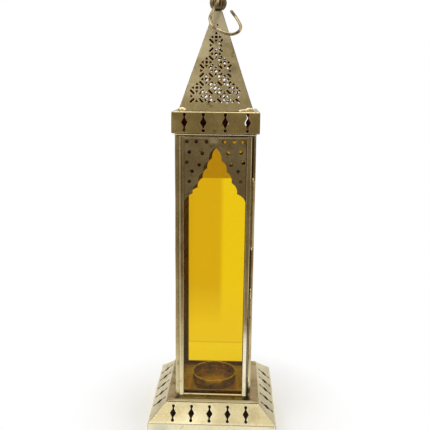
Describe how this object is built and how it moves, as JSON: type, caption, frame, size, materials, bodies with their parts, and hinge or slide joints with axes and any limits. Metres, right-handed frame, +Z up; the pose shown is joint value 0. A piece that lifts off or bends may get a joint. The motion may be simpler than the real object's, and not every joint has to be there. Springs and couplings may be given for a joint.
{
  "type": "moroccan lantern",
  "caption": "Tall square candle lantern in aged brass sheet with amber glass sides, a pierced tapering roof, a hinged front door with a lobed arch, and a hanging hook above a ribbed ball.",
  "frame": {"origin": "the middle of the square base, on the surface that the lantern stands on", "axes": "+Z up along the lantern, -Y out of the door side, +X towards the door's hinges"},
  "size_m": [0.126, 0.126, 0.448],
  "materials": {
    "aged_brass": "aged brass sheet, satin, with a brown-green patina",
    "dark_brass": "darkened brass, half matt",
    "bright_wire": "bright drawn brass wire",
    "amber_glass": "clear amber-yellow sheet glass"
  },
  "bodies": {
    "lantern": {"base_sheet_front": "aged_brass", "base_sheet_right": "aged_brass", "base_sheet_back": "aged_brass", "base_sheet_left": "aged_brass", "platform": "aged_brass", "candle_cup": "dark_brass", "post_front_left": "aged_brass", "post_front_right": "aged_brass", "post_back_right": "aged_brass", "post_back_left": "aged_brass", "arch_panel_right": "aged_brass", "arch_panel_back": "aged_brass", "arch_panel_left": "aged_brass", "pane_right": "amber_glass", "pane_back": "amber_glass", "pane_left": "amber_glass", "top_plate": "aged_brass", "hinge_pin_upper": "bright_wire", "hinge_pin_lower": "bright_wire", "cornice_front": "aged_brass", "cornice_right": "aged_brass", "cornice_back": "aged_brass", "cornice_left": "aged_brass", "roof_panel_front": "aged_brass", "roof_panel_right": "aged_brass", "roof_panel_back": "aged_brass", "roof_panel_left": "aged_brass", "finial": "dark_brass", "finial_ring": "bright_wire"},
    "door": {"door_rail_bottom": "aged_brass", "door_rail_top": "aged_brass", "door_stile_left": "aged_brass", "door_stile_right": "aged_brass", "door_arch": "aged_brass", "door_glass": "amber_glass", "hinge_barrel_upper": "aged_brass", "hinge_barrel_lower": "aged_brass"},
    "hook": {"hanging_hook": "bright_wire"}
  },
  "joints": [
    {"name": "door_hinge", "type": "hinge", "parent": "lantern", "child": "door", "pos_m": [0.0352, -0.0393, 0.1655], "axis": [0, 0, 1], "range_deg": [0, 120]},
    {"name": "hook_swing", "type": "hinge", "parent": "lantern", "child": "hook", "pos_m": [0, 0, 0.4358], "axis": [-1, 0, 0], "range_deg": [0, 307.9]}
  ]
}
